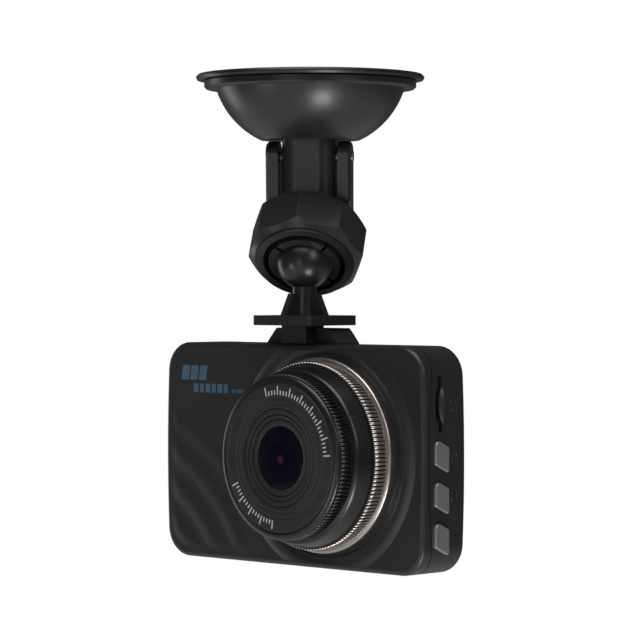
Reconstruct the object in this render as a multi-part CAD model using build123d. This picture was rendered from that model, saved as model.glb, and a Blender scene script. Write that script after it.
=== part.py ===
from build123d import *
import math

# Dash camera on a suction-cup ball mount.
# Frame: +Z up, millimetres. The origin is the centre of the suction pad's sealing face, which
# faces up; everything hangs below it. The lens looks along -Y and the card slot faces +X.
# The mount is built with its front along -Y and then turned about Z by MOUNT_YAW.

# ---- mount ----
MOUNT_YAW = 34.0
PAD_R = 26.9
PAD_T = 1.3
PAD_WEB = 1.9
PAD_BOSS_R = 6.6
PAD_BOSS_BOTTOM = -5.4
PLUNGER_HEAD_R = 4.3
PLUNGER_HEAD_T = 1.1
PLUNGER_ROD_R = 2.4
RIM_R = 25.0
RIM_BOTTOM = -3.4
DOME_R = 22.2
DOME_BOTTOM = -15.4
DOME_FLAT_R = 11.7
STEM_W = 12.6
STEM_D = 11.0
PIVOT_Z = -19.24
PIVOT_R = 1.25
LEVER_TRAVEL = 1.1
ARM_IN = 7.1
ARM_T = 3.0
ARM_EDGE_R = 0.5
CAM_R = 3.0
FIT = 0.05

# ---- ball joint: the nut's axis leans forward and down from the ball's centre ----
BALL_FORWARD = 7.5
STUD_X = BALL_FORWARD * math.sin(math.radians(MOUNT_YAW))
STUD_Y = -BALL_FORWARD * math.cos(math.radians(MOUNT_YAW))
BALL_Z = -44.0
BALL_R = 6.65
NUT_LEAN = 42.0
NUT_R = 13.7
NUT_BACK = -11.0
NUT_FRONT = 0.8
NUT_OPENING_R = 9.65
NUT_EDGE_R = 0.9
NUT_TURN = 1.0
THREAD_R = 9.2
FINGER_END = 1.0
FINGER_SLOT = 0.8
FRICTION_PAD_R = 4.98

# ---- ball stud ----
NECK_R = 2.9
RIB_TOP = -51.5
RIB_T = 1.6
PLATE_W = 18.8
PLATE_D = 15.9
PLATE_TOP = -56.6
PLATE_T = 2.3
FOOT_W = 8.0
FOOT_FRONT = -9.8
FOOT_BACK = -3.9
FOOT_BOTTOM = -63.1

# ---- camera case ----
CASE_X = STUD_X
CASE_Z = -89.05
CASE_W = 84.2
CASE_H = 51.5
FRONT_Y = -11.2
BACK_Y = 3.1
CORNER_R = 7.0
END_BOW = 0.8
WALL = 1.5
FRONT_WALL = 1.2
BACK_WALL = 1.2
FRONT_ROUND = 1.1
BACK_ROUND = 1.4
SEAM_NEAR = 1.4
SEAM_ARCH = 2.5
SEAM_GAP = 0.25
POST_GAP = 0.1
CASE_TOP = CASE_Z + CASE_H / 2

# ---- rail on top of the case ----
RAIL_TOP = -59.56
RAIL_HALF_TOP = 8.3
RAIL_HALF_BASE = 11.4
RAIL_FRONT = -7.1
RAIL_BACK = 0.3
SLOT_HALF = 4.4

# ---- lens ----
LENS_X = 15.4
LENS_Z = -88.6
LENS_FRONT = -26.3
FACE_R = 17.1
KNURL_R = 18.9
TRIM_R = 22.5
GLASS_R = 7.15
DISH_FLOOR = FRONT_Y + 0.5
RIDGE_FOOT_R = 23.7
RIDGE_R = 28.2

# ---- side controls ----
BUTTON_ZS = (-87.7, -97.0, -106.2)
BUTTON_Y = -5.7
BUTTON_D = 4.6
BUTTON_H = 8.1
BUTTON_SLANT = 25.0
BUTTON_GAP = 0.2
BUTTON_OUT = 42.7
CARD_Y = -5.75
CARD_TOP = -69.9
CARD_BOTTOM = -82.5
CARD_SLOT_T = 1.3
SCOOP_R = 9.75
SCOOP_OUT = 8.45

# ---- openings in the top and bottom of the case ----
USB_X = CASE_X - 26.0
USB_Y = -3.75
AV_X = CASE_X - 16.0
AV_Y = -4.0
MIC_X = CASE_X + 28.0
PIN_HOLE_R = 0.6
RESET_X = CASE_X + 24.0
SOUND_SLOTS_X = CASE_X + 2.0
SOUND_SLOT_PITCH = 2.4

# ---- inside the case ----
PCB_FRONT = -1.8
PCB_T = 1.0
LCD_FRONT = -0.6
WINDOW_W = 70.4
WINDOW_H = 39.2
WINDOW_T = 0.8
SCREW_X = 36.8
SCREW_Z = 21.5
BOSS_R = 2.0
SIDE_PCB_FRONT = -5.0


def save(name, shape):
    """Write one node as parts/NAME.step."""
    export_step(shape, f"parts/{name}.step")


def closed(points):
    """A flat face through the given points."""
    return make_face(Polyline(*points, close=True))


def ring_about_z(points):
    """Turn a (radius, z) outline about the Z axis."""
    return revolve(Plane.XZ * closed(points), axis=Axis.Z)


def ring_about_y(points):
    """Turn a (radius, y) outline about the lens axis."""
    return Pos(LENS_X, 0, LENS_Z) * revolve(closed(points), axis=Axis.Y)


def block(x0, x1, y0, y1, z0, z1):
    """A box between two corners."""
    centre = Pos((x0 + x1) / 2, (y0 + y1) / 2, (z0 + z1) / 2)
    return centre * Box(abs(x1 - x0), abs(y1 - y0), abs(z1 - z0))


def turned(shape):
    """From the mount's own frame to the object's frame."""
    return Rot(0, 0, MOUNT_YAW) * shape


# =============================== mount ===============================
lean = math.radians(NUT_LEAN)
ball_centre = Vector(0, -BALL_FORWARD, BALL_Z)
nut_axis = Vector(0, -math.sin(lean), -math.cos(lean))
nut_up = Vector(0, -math.cos(lean), math.sin(lean))
joint_frame = Plane(origin=ball_centre, x_dir=nut_up, z_dir=nut_axis).location


def on_joint(shape):
    """From the ball joint's frame (z = distance along the nut's axis) to the mount's frame."""
    return joint_frame * shape


def make_suction_pad():
    """Soft disc with a flat sealing face and a boss that holds the plunger's head."""
    lip = 0.5
    body = ring_about_z([
        (0, 0), (PAD_R - lip, 0), (PAD_R, -lip),
        (PAD_R, lip - PAD_T), (PAD_R - lip / 2, -PAD_T), (14.5, -PAD_T), (PAD_BOSS_R + 2, -3.0),
        (PAD_BOSS_R, PAD_BOSS_BOTTOM), (0, PAD_BOSS_BOTTOM),
    ])
    pocket = ring_about_z([
        (0, -PAD_WEB), (PLUNGER_HEAD_R + 0.2, -PAD_WEB), (PLUNGER_HEAD_R + 0.2, -4.42),
        (PLUNGER_ROD_R + 0.2, -4.42), (PLUNGER_ROD_R + 0.2, PAD_BOSS_BOTTOM - 1),
        (0, PAD_BOSS_BOTTOM - 1),
    ])
    return body - pocket


def make_plunger():
    """Pull rod with a flat head; the lever's pin crosses its lower end."""
    head_bottom = -4.4
    rod = ring_about_z([
        (0, head_bottom + PLUNGER_HEAD_T), (PLUNGER_HEAD_R, head_bottom + PLUNGER_HEAD_T),
        (PLUNGER_HEAD_R, head_bottom), (PLUNGER_ROD_R, head_bottom),
        (PLUNGER_ROD_R, PIVOT_Z - 3.0), (PLUNGER_ROD_R - 0.5, PIVOT_Z - 3.5), (0, PIVOT_Z - 3.5),
    ])
    hole = Pos(0, 0, PIVOT_Z) * Rot(0, 90, 0) * Cylinder(PIVOT_R + 0.02, 20)
    return rod - hole


def make_lever_pin():
    """Pin through the plunger and both lever arms."""
    length = 2 * (ARM_IN + ARM_T + 0.2)
    return Pos(0, 0, PIVOT_Z) * Rot(0, 90, 0) * Cylinder(PIVOT_R, length)


def dome_shell():
    """Round housing: rim, curved dome and flat underside, hollow above."""
    outer = (
        Polyline((0, -PAD_T), (RIM_R - 0.3, -PAD_T), (RIM_R, -PAD_T - 0.3),
                 (RIM_R, RIM_BOTTOM + 0.5), (RIM_R - 0.5, RIM_BOTTOM), (DOME_R, RIM_BOTTOM))
        + ThreePointArc((DOME_R, RIM_BOTTOM), (19.1, -9.4), (DOME_FLAT_R, DOME_BOTTOM))
        + Polyline((DOME_FLAT_R, DOME_BOTTOM), (0, DOME_BOTTOM), (0, -PAD_T))
    )
    inner_rim = 22.6
    inner = (
        Polyline((0, -PAD_T + 1), (inner_rim, -PAD_T + 1), (inner_rim, -2.4), (19.9, -3.9))
        + ThreePointArc((19.9, -3.9), (17.1, -8.6), (8.9, -13.4))
        + Polyline((8.9, -13.4), (0, -13.4), (0, -PAD_T + 1))
    )
    shell = revolve(Plane.XZ * make_face(outer), axis=Axis.Z)
    return shell - revolve(Plane.XZ * make_face(inner), axis=Axis.Z)


def make_suction_base():
    """Dome, stem and split socket in one moulding."""
    stem_length = 30
    stem_sketch = RectangleRounded(STEM_W, STEM_D, 3.3)
    stem = Pos(0, 0, DOME_BOTTOM + 0.1) * extrude(stem_sketch, -stem_length)
    behind_nut = on_joint(Pos(0, 0, NUT_BACK - 0.5 - 30) * Box(80, 80, 60))
    stem = stem & behind_nut
    core = on_joint(ring_about_z([
        (0, -16.5), (5.0, -16.5), (6.3, -14.0), (THREAD_R, NUT_BACK - 0.6), (THREAD_R, -4.5), (8.8, -1.6),
        (8.35, FINGER_END), (0, FINGER_END),
    ]))
    seat = on_joint(Sphere(BALL_R + FIT))
    pad_bore = on_joint(Pos(0, 0, -6.2) * Cylinder(FRICTION_PAD_R + FIT, 4.4))
    slot_length = FINGER_END + 5.5
    slot_place = Pos(0, 0, FINGER_END - slot_length / 2 + 0.5)
    slot = slot_place * Box(FINGER_SLOT, 30, slot_length + 1)
    slots = [on_joint(Rot(0, 0, turn) * slot) for turn in (45, 135)]
    rod_bore = Pos(0, 0, -19) * Cylinder(PLUNGER_ROD_R + 0.12, 12.4)
    pin_slot = block(-20, 20, -PIVOT_R - 0.1, PIVOT_R + 0.1,
                     PIVOT_Z - PIVOT_R - 0.1, PIVOT_Z + LEVER_TRAVEL + PIVOT_R + 0.1)
    base = dome_shell() + stem + core
    return base - seat - pad_bore - slots[0] - slots[1] - rod_bore - pin_slot


def make_lever():
    """Cam lever: two arms beside the stem, joined by a paddle behind the nut."""
    arm_outline = closed([
        (-3.7, PIVOT_Z), (-3.2, -30.0), (1.5, -33.0), (8.0, -36.6), (9.5, -38.5), (10.6, -40.2),
        (12.0, -39.2), (12.0, -33.5), (8.5, -29.0), (3.4, -25.0), (2.0, -19.0),
    ])
    arm_face = arm_outline + Pos(-0.9, PIVOT_Z + 0.6) * Circle(CAM_R)
    arm_face -= Pos(0, PIVOT_Z) * Circle(PIVOT_R + 0.04)
    arm = Pos(ARM_IN, 0, 0) * extrude(Plane.YZ * arm_face, ARM_T)
    outer_face = arm.faces().sort_by(Axis.X)[-1]
    arm = chamfer(outer_face.outer_wire().edges(), ARM_EDGE_R)
    paddle_face = closed([
        (8.8, -34.0), (8.8, -37.6), (9.5, -38.5), (10.6, -40.2), (12.0, -39.2), (12.0, -33.5),
    ])
    paddle = Pos(-ARM_IN - 0.1, 0, 0) * extrude(Plane.YZ * paddle_face, 2 * ARM_IN + 0.2)
    outside = extrude(closed([(10.2, 1.0), (8.1, 12.5), (14.0, 12.5), (14.0, 1.0)]), -50)
    arm -= outside
    return arm + mirror(arm, about=Plane.YZ) + paddle


def make_socket_nut():
    """Eight-sided clamping nut with chamfered ends and a raised lip round its mouth."""
    prism_length = NUT_FRONT - NUT_BACK
    octagon = RegularPolygon(NUT_R, 8, rotation=NUT_TURN)
    octagon = fillet(octagon.vertices(), NUT_EDGE_R)
    prism = Pos(0, 0, NUT_BACK) * extrude(octagon, prism_length)
    envelope = ring_about_z([
        (0, NUT_BACK), (12.2, NUT_BACK), (NUT_R, -9.7), (NUT_R, -1.9), (11.7, 0.1), (11.3, 0.1),
        (11.3, NUT_FRONT), (0, NUT_FRONT),
    ])
    bore = ring_about_z([
        (0, NUT_BACK - 1), (THREAD_R + 0.1, NUT_BACK - 1), (THREAD_R + 0.1, -4.4), (8.95, -1.6),
        (NUT_OPENING_R - 0.3, -0.9), (NUT_OPENING_R, -0.4), (NUT_OPENING_R, NUT_FRONT + 1),
        (0, NUT_FRONT + 1),
    ])
    return on_joint((prism & envelope) - bore)


def make_friction_pad():
    """Washer with a hollow face that presses on the back of the ball."""
    disc = Pos(0, 0, -6.55) * Cylinder(FRICTION_PAD_R, 3.5)
    return on_joint(disc - Sphere(BALL_R + FIT))


def make_ball():
    """Ball with a blind bore for the stud's neck."""
    bore = Pos(0, 0, -4.0) * Cylinder(NECK_R + 0.03, 14.4)
    return Pos(*ball_centre) * (Sphere(BALL_R) - bore)


def make_ball_stud():
    """Neck, four ribs, plate and the tongued foot that slides in the case's rail."""
    neck_top = BALL_Z + 3.0
    neck = Pos(STUD_X, STUD_Y, (neck_top + PLATE_TOP) / 2) * Cylinder(NECK_R, neck_top - PLATE_TOP)
    rib_face = closed([
        (-4.6, RIB_TOP), (4.6, RIB_TOP), (7.2, PLATE_TOP - 0.1), (-7.2, PLATE_TOP - 0.1),
    ])
    rib = Pos(0, RIB_T / 2, 0) * extrude(Plane.XZ * rib_face, RIB_T)
    ribs = [Pos(STUD_X, STUD_Y, 0) * Rot(0, 0, turn) * rib for turn in (0, 90)]
    plate_sketch = RectangleRounded(PLATE_W, PLATE_D, 0.8)
    plate = Pos(STUD_X, STUD_Y, PLATE_TOP) * extrude(plate_sketch, -PLATE_T)
    foot = block(STUD_X - FOOT_W / 2, STUD_X + FOOT_W / 2, FOOT_FRONT, FOOT_BACK,
                 PLATE_TOP - PLATE_T, FOOT_BOTTOM)
    tongue = block(STUD_X - FOOT_W / 2 - 1, STUD_X + FOOT_W / 2 + 1, RAIL_FRONT + 0.2, FOOT_BACK,
                   -61.9, -60.9)
    return neck + ribs[0] + ribs[1] + plate + foot + tongue


save("suction_pad", turned(make_suction_pad()))
save("plunger", turned(make_plunger()))
save("lever_pin", turned(make_lever_pin()))
save("suction_base", turned(make_suction_base()))
save("lever", turned(make_lever()))
save("socket_nut", turned(make_socket_nut()))
save("friction_pad", turned(make_friction_pad()))
save("ball", turned(make_ball()))
save("ball_stud", make_ball_stud())


# =============================== camera case ===============================
def case_outline(inset):
    """Rounded rectangle with gently bowed ends."""
    half_w = CASE_W / 2 - inset
    half_h = CASE_H / 2 - inset
    corner = half_w - END_BOW
    sides = (
        Line((-corner, half_h), (corner, half_h))
        + ThreePointArc((corner, half_h), (half_w, 0), (corner, -half_h))
        + Line((corner, -half_h), (-corner, -half_h))
        + ThreePointArc((-corner, -half_h), (-half_w, 0), (-corner, half_h))
    )
    face = make_face(sides)
    return fillet(face.vertices(), CORNER_R - inset)


def front_plane(y):
    """A plane across the case at depth y, facing the front, centred on the case."""
    return Plane(origin=(CASE_X, y, CASE_Z), x_dir=(1, 0, 0), z_dir=(0, -1, 0))


def slab(sketch, y0, y1):
    """Extrude a sketch of the case's front view from depth y1 forward to y0."""
    return extrude(front_plane(y1) * sketch, y1 - y0)


def case_block():
    """Outer shape of the closed case with its rounded edges."""
    solid = slab(case_outline(0), FRONT_Y, BACK_Y)
    solid = fillet(solid.faces().sort_by(Axis.Y)[0].edges(), FRONT_ROUND)
    return fillet(solid.faces().sort_by(Axis.Y)[-1].edges(), BACK_ROUND)


def ahead_of_seam(shift):
    """Everything in front of the arched seam, moved back by shift."""
    half = CASE_H / 2 + 2
    near = FRONT_Y + SEAM_NEAR + shift
    far = near + SEAM_ARCH * (2 * half / CASE_H) ** 2
    front = FRONT_Y - 20
    profile = (
        Polyline((far, CASE_Z - half), (far, CASE_Z - half - 5), (front, CASE_Z - half - 5),
                 (front, CASE_Z + half + 5), (far, CASE_Z + half + 5), (far, CASE_Z + half))
        + ThreePointArc((far, CASE_Z + half), (near, CASE_Z), (far, CASE_Z - half))
    )
    return Pos(CASE_X - 60, 0, 0) * extrude(Plane.YZ * make_face(profile), 120)


def screw_places():
    """The four corner screw positions as (x, z)."""
    return [(CASE_X + sx * SCREW_X, CASE_Z + sz * SCREW_Z) for sx in (-1, 1) for sz in (-1, 1)]


def post(x, z, radius, y0, y1):
    """A round post along Y."""
    return Pos(x, (y0 + y1) / 2, z) * Rot(90, 0, 0) * Cylinder(radius, y1 - y0)


def button_face(grow):
    """Slanted button outline in the YZ plane; the front top corner is rounder than the rest."""
    drop = math.tan(math.radians(BUTTON_SLANT)) * BUTTON_D
    y0 = BUTTON_Y - BUTTON_D / 2 - grow
    y1 = BUTTON_Y + BUTTON_D / 2 + grow
    top = BUTTON_H / 2 + grow
    face = closed([(y0, top), (y1, top - drop), (y1, -top), (y0, -top + drop)])
    by_distance = face.vertices().sort_by(lambda v: (v.X - y0) ** 2 + (v.Y - top) ** 2)
    face = fillet(by_distance[1:], 0.5 + grow / 2)
    front_top = face.vertices().sort_by(lambda v: (v.X - y0) ** 2 + (v.Y - top) ** 2)[0]
    return fillet(front_top, 1.3 + grow)


def on_side(shape, side):
    """A shape made for the +X side, mirrored to the -X side where side is negative."""
    if side > 0:
        return shape
    return mirror(shape, about=Plane((CASE_X, 0, 0), z_dir=(1, 0, 0)))


def along_x(face, z, x0, x1):
    """Extrude a YZ face at height z between two distances from the case centre."""
    return Pos(CASE_X + x0, 0, z) * extrude(Plane.YZ * face, x1 - x0)


def make_button(side, z):
    """One slanted side button with a retaining flange and a short nib."""
    cap = along_x(button_face(0), z, 40.1, BUTTON_OUT)
    cap = fillet(cap.faces().sort_by(Axis.X)[-1].edges(), 0.25)
    flange = along_x(button_face(0.4), z, 39.3, 40.15)
    nib = Pos(CASE_X + 39.0, -5.9, z) * Rot(0, 90, 0) * Cylinder(0.8, 0.7)
    return on_side(cap + flange + nib, side)


def make_rail():
    """Dovetailed rail on top of the case, slotted for the foot and open at the front."""
    face = closed([
        (-RAIL_HALF_BASE, CASE_TOP - 0.6), (RAIL_HALF_BASE, CASE_TOP - 0.6),
        (RAIL_HALF_BASE, CASE_TOP + 0.3), (RAIL_HALF_TOP + 0.9, RAIL_TOP - 0.9),
        (RAIL_HALF_TOP, RAIL_TOP), (-RAIL_HALF_TOP, RAIL_TOP), (-RAIL_HALF_TOP - 0.9, RAIL_TOP - 0.9),
        (-RAIL_HALF_BASE, CASE_TOP + 0.3),
    ])
    depth = RAIL_BACK - RAIL_FRONT
    rail = Pos(CASE_X, RAIL_BACK, 0) * extrude(Plane.XZ * face, depth)
    slot_back = FOOT_BACK + 0.2
    slot = block(CASE_X - SLOT_HALF, CASE_X + SLOT_HALF, RAIL_FRONT - 1, slot_back,
                 RAIL_TOP + 1, CASE_TOP)
    groove = block(CASE_X - SLOT_HALF - 0.9, CASE_X + SLOT_HALF + 0.9, RAIL_FRONT - 1, slot_back,
                   -62.1, -60.7)
    return rail - slot - groove


def make_ridge():
    """Soft round swell about the lens, cut off short of the cover's rounded edges."""
    swell = Spline(
        (RIDGE_FOOT_R - 0.7, DISH_FLOOR), (RIDGE_FOOT_R + 0.3, FRONT_Y), (25.0, FRONT_Y - 0.34),
        (26.0, FRONT_Y - 0.42), (27.1, FRONT_Y - 0.28), (RIDGE_R, FRONT_Y),
    )
    foot = Polyline((RIDGE_R, FRONT_Y), (RIDGE_R, FRONT_Y + 0.8), (RIDGE_FOOT_R - 0.7, FRONT_Y + 0.8),
                    (RIDGE_FOOT_R - 0.7, DISH_FLOOR))
    ring = Pos(LENS_X, 0, LENS_Z) * revolve(make_face(swell + foot), axis=Axis.Y)
    return ring & slab(case_outline(FRONT_ROUND + 0.1), FRONT_Y - 1, FRONT_Y + 0.8)


def make_front_cover(case, cavity):
    """Front shell with the lens opening, the round ridge about it and four screw posts."""
    cover = (case - cavity) & ahead_of_seam(0)
    inside = slab(case_outline(WALL + POST_GAP), FRONT_Y + 0.5, BACK_Y)
    dish = post(LENS_X, LENS_Z, RIDGE_FOOT_R, FRONT_Y - 1, DISH_FLOOR)
    opening = post(LENS_X, LENS_Z, KNURL_R + FIT, FRONT_Y - 5, 0)
    for x, z in screw_places():
        cover += post(x, z, BOSS_R, FRONT_Y + FRONT_WALL - 0.1, -4.6) & inside
    for x, z in screw_places():
        cover -= post(x, z, 0.92, -8.0, 0)
    return cover - dish + make_ridge() - opening


def make_rear_case(case, cavity):
    """Rear shell with the rail, screw posts, window frame, card slot and socket openings."""
    shell = (case - cavity) - ahead_of_seam(SEAM_GAP) + make_rail()
    for x, z in screw_places():
        shell += post(x, z, BOSS_R, -4.55, BACK_Y - BACK_WALL + 0.1)
    for x, z in screw_places():
        shell -= post(x, z, 1.05, -6, BACK_Y + 1)
        shell -= post(x, z, 1.7, BACK_Y - BACK_WALL, BACK_Y + 1)
    seat_sketch = RectangleRounded(WINDOW_W + 0.2, WINDOW_H + 0.2, 1.6)
    window_seat = slab(seat_sketch, BACK_Y - WINDOW_T, BACK_Y + 1)
    window_hole = slab(RectangleRounded(WINDOW_W - 2.4, WINDOW_H - 2.4, 1.0), -0.5, BACK_Y)
    shell = shell - window_seat - window_hole
    for side in (-1, 1):
        for z in BUTTON_ZS:
            shell -= on_side(along_x(button_face(BUTTON_GAP), z, 38.0, 44.0), side)
            shell -= on_side(along_x(button_face(0.6), z, 39.0, 40.2), side)
    card_mid = (CARD_TOP + CARD_BOTTOM) / 2
    shell -= block(CASE_X + 38, CASE_X + 44, CARD_Y - CARD_SLOT_T / 2, CARD_Y + CARD_SLOT_T / 2,
                   CARD_BOTTOM, CARD_TOP)
    scoop = scale(Sphere(SCOOP_R), by=(1, 0.39, 1))
    shell -= Pos(CASE_X + CASE_W / 2 + SCOOP_OUT, CARD_Y, card_mid) * scoop
    shell -= block(USB_X - 3.95, USB_X + 3.95, USB_Y - 2.05, USB_Y + 2.05, CASE_TOP - 3, CASE_TOP + 1)
    shell -= Pos(AV_X, AV_Y, CASE_TOP) * Cylinder(1.85, 6)
    shell -= Pos(MIC_X, AV_Y, CASE_TOP) * Cylinder(PIN_HOLE_R, 6)
    case_bottom = CASE_Z - CASE_H / 2
    shell -= Pos(RESET_X, AV_Y, case_bottom) * Cylinder(PIN_HOLE_R, 6)
    for number in range(4):
        x = SOUND_SLOTS_X + number * SOUND_SLOT_PITCH
        shell -= block(x - 0.5, x + 0.5, -5.5, -1.0, case_bottom - 1, case_bottom + 3)
    return shell


case = case_block()
cavity = slab(case_outline(WALL), FRONT_Y + FRONT_WALL, BACK_Y - BACK_WALL)
save("front_cover", make_front_cover(case, cavity))
save("rear_case", make_rear_case(case, cavity))

window = slab(RectangleRounded(WINDOW_W, WINDOW_H, 1.5), BACK_Y - WINDOW_T, BACK_Y)
save("lcd_window", window)

for side, label in ((1, "right"), (-1, "left")):
    for number, z in enumerate(BUTTON_ZS, 1):
        save(f"button_{label}_{number}", make_button(side, z))


# =============================== lens ===============================
def make_trim_ring():
    """Bright ring round the foot of the lens."""
    return ring_about_y([
        (20.3, -16.95), (21.1, -16.95), (21.5, -16.6), (21.5, -13.7), (22.2, -13.6),
        (TRIM_R, -13.3), (TRIM_R, -11.7), (22.1, -11.2), (22.1, DISH_FLOOR), (20.3, DISH_FLOOR),
    ])


def make_barrel_ring():
    """Stepped black barrel that carries the lens face."""
    shoulder = ThreePointArc((FACE_R + 0.05, LENS_FRONT), (18.45, -25.75), (KNURL_R, -24.7))
    rest = Polyline(
        (KNURL_R, -24.7), (KNURL_R, -21.7), (19.9, -21.2), (20.0, -20.9), (20.85, -17.4),
        (20.85, -17.25), (20.25, -17.25), (20.25, DISH_FLOOR), (KNURL_R, DISH_FLOOR),
        (KNURL_R, -8.6), (16.4, -8.6), (16.4, -24.9), (FACE_R + 0.05, -24.9),
        (FACE_R + 0.05, LENS_FRONT),
    )
    return Pos(LENS_X, 0, LENS_Z) * revolve(make_face(shoulder + rest), axis=Axis.Y)


def make_lens_face():
    """Flat front ring with three shallow steps down to the glass."""
    return ring_about_y([
        (7.25, -25.6), (8.75, -25.7), (8.75, -25.85), (9.8, -25.9), (9.8, -26.05), (11.2, -26.1),
        (11.2, LENS_FRONT), (FACE_R, LENS_FRONT), (FACE_R, -24.9), (7.25, -24.9),
    ])


def make_front_glass():
    """Domed front element."""
    dome = ThreePointArc((0, -26.3), (GLASS_R / 2, -26.1), (GLASS_R, -25.5))
    rest = Polyline((GLASS_R, -25.5), (GLASS_R, -22.4), (0, -22.4), (0, -26.3))
    return Pos(LENS_X, 0, LENS_Z) * revolve(make_face(dome + rest), axis=Axis.Y)


def make_lens_core():
    """Inner lens barrel that holds the glass elements."""
    return ring_about_y([
        (GLASS_R + FIT, -24.85), (8.6, -24.85), (8.6, -21.6), (6.0, -21.6), (6.0, -5.0),
        (4.6, -5.0), (4.6, -22.4), (GLASS_R + FIT, -22.4),
    ])


def make_element(y_front, y_back, bulge):
    """One inner glass element, domed at the front."""
    radius = 4.55
    apex = (0, y_front - bulge)
    dome = ThreePointArc(apex, (radius * 0.7, y_front - bulge * 0.5), (radius, y_front))
    rest = Polyline((radius, y_front), (radius, y_back), (0, y_back), apex)
    return Pos(LENS_X, 0, LENS_Z) * revolve(make_face(dome + rest), axis=Axis.Y)


def make_lens_holder():
    """Threaded holder on the circuit board, square at its foot."""
    foot = block(LENS_X - 7.5, LENS_X + 7.5, -6.0, PCB_FRONT, LENS_Z - 7.5, LENS_Z + 7.5)
    tube = post(LENS_X, LENS_Z, 7.6, -13.0, -6.0)
    bore = post(LENS_X, LENS_Z, 6.03, -14.0, -4.9)
    light_hole = post(LENS_X, LENS_Z, 3.5, -5.0, -3.9)
    chamber = block(LENS_X - 5.6, LENS_X + 5.6, -4.2, PCB_FRONT + 1, LENS_Z - 5.6, LENS_Z + 5.6)
    return foot + tube - bore - light_hole - chamber


save("lens_trim_ring", make_trim_ring())
save("barrel_ring", make_barrel_ring())
save("lens_face", make_lens_face())
save("front_glass", make_front_glass())
save("lens_core", make_lens_core())
save("middle_element", make_element(-16.0, -13.5, 0.9))
save("rear_element", make_element(-9.0, -6.5, 0.7))
save("lens_holder", make_lens_holder())
save("ir_filter", block(LENS_X - 5.5, LENS_X + 5.5, -4.2, -3.7, LENS_Z - 5.5, LENS_Z + 5.5))
save("image_sensor", block(LENS_X - 4.3, LENS_X + 4.3, PCB_FRONT - 0.9, PCB_FRONT,
                           LENS_Z - 4.3, LENS_Z + 4.3))


# =============================== electronics ===============================
def make_usb_socket():
    """Small hollow socket with a tongue, open at the top."""
    top = CASE_TOP - 0.3
    shell = block(USB_X - 3.85, USB_X + 3.85, USB_Y - 1.95, USB_Y + 1.95, top - 9, top)
    hollow = block(USB_X - 3.45, USB_X + 3.45, USB_Y - 1.55, USB_Y + 1.55, top - 7.5, top + 1)
    tongue = block(USB_X - 2.4, USB_X + 2.4, USB_Y - 0.4, USB_Y + 0.4, top - 7.6, top - 1.2)
    return shell - hollow + tongue


def make_av_socket():
    """Round jack socket in a square body."""
    top = CASE_TOP - WALL
    body = block(AV_X - 3.0, AV_X + 3.0, AV_Y - 2.2, PCB_FRONT, top - 11, top)
    collar = Pos(AV_X, AV_Y, top + 0.5) * Cylinder(1.75, 1.2)
    bore = Pos(AV_X, AV_Y, top - 3.5) * Cylinder(1.25, 10)
    return body + collar - bore


def make_side_board(side):
    """Narrow upright board that carries one row of switches."""
    x0, x1 = (22.6, 38.0) if side > 0 else (33.6, 38.0)
    board = block(CASE_X + x0, CASE_X + x1, SIDE_PCB_FRONT, SIDE_PCB_FRONT + 0.8,
                  BUTTON_ZS[-1] - 2.1, CARD_TOP + 0.2)
    return on_side(board, side)


def make_switches(side):
    """Three push switches, one behind each button."""
    switches = []
    for z in BUTTON_ZS:
        body = block(CASE_X + 35.6, CASE_X + 37.4, -6.9, SIDE_PCB_FRONT, z - 2.0, z + 2.0)
        stem = Pos(CASE_X + 37.65, -5.9, z) * Rot(0, 90, 0) * Cylinder(0.6, 0.7)
        switches.append(on_side(body + stem, side))
    return Compound(children=switches)


def make_card_socket():
    """Flat metal card cage, open toward the slot in the case."""
    x0, x1 = CASE_X + 23.5, CASE_X + 40.0
    shell = block(x0, x1, -6.9, SIDE_PCB_FRONT, CARD_BOTTOM - 0.5, CARD_TOP + 0.2)
    hollow = block(x0 + 1.0, x1 + 1, CARD_Y - 0.5, CARD_Y + 0.5, CARD_BOTTOM + 0.2, CARD_TOP - 0.4)
    return shell - hollow


def make_screw(x, z):
    """Cross-head case screw with its head sunk in the rear shell."""
    head_back = BACK_Y - 0.2
    head = post(x, z, 1.5, BACK_Y - BACK_WALL, head_back)
    shank = post(x, z, 0.9, -7.6, BACK_Y - BACK_WALL)
    cross = block(x - 0.9, x + 0.9, head_back - 0.5, head_back + 1, z - 0.2, z + 0.2)
    cross += block(x - 0.2, x + 0.2, head_back - 0.5, head_back + 1, z - 0.9, z + 0.9)
    return head + shank - cross


pcb_half_w = 34.0
pcb_half_h = 20.5
board_chips = [(-20, 6, 9, 9), (-4, -12, 10, 8), (-22, -10, 7, 7)]
chips = []
for dx, dz, width, height in board_chips:
    x, z = CASE_X + dx, CASE_Z + dz
    chips.append(block(x - width / 2, x + width / 2, PCB_FRONT - 1.0, PCB_FRONT,
                       z - height / 2, z + height / 2))

save("main_pcb", block(CASE_X - pcb_half_w, CASE_X + pcb_half_w, PCB_FRONT, PCB_FRONT + PCB_T,
                       CASE_Z - pcb_half_h, CASE_Z + pcb_half_h))
save("pcb_chips", Compound(children=chips))
save("lcd_panel", block(CASE_X - 35, CASE_X + 35, LCD_FRONT, BACK_Y - BACK_WALL - 0.05,
                        CASE_Z - 20, CASE_Z + 20))
save("battery", block(CASE_X - 32.5, CASE_X - 9.5, -9.2, -5.4, CASE_Z - 22, CASE_Z - 5))
save("battery_foam", block(CASE_X - 30, CASE_X - 12, -5.4, -4.4, CASE_Z - 20, CASE_Z - 7))
speaker = block(CASE_X - 32, CASE_X - 14, -9.2, -6.4, CASE_Z - 2, CASE_Z + 13)
save("speaker", fillet(speaker.edges().filter_by(Axis.Y), 3))
save("microphone", post(MIC_X, CASE_Z + 21.5, 2.0, -9.2, -7.6))
save("usb_socket", make_usb_socket())
save("av_socket", make_av_socket())
save("card_socket", make_card_socket())
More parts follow.
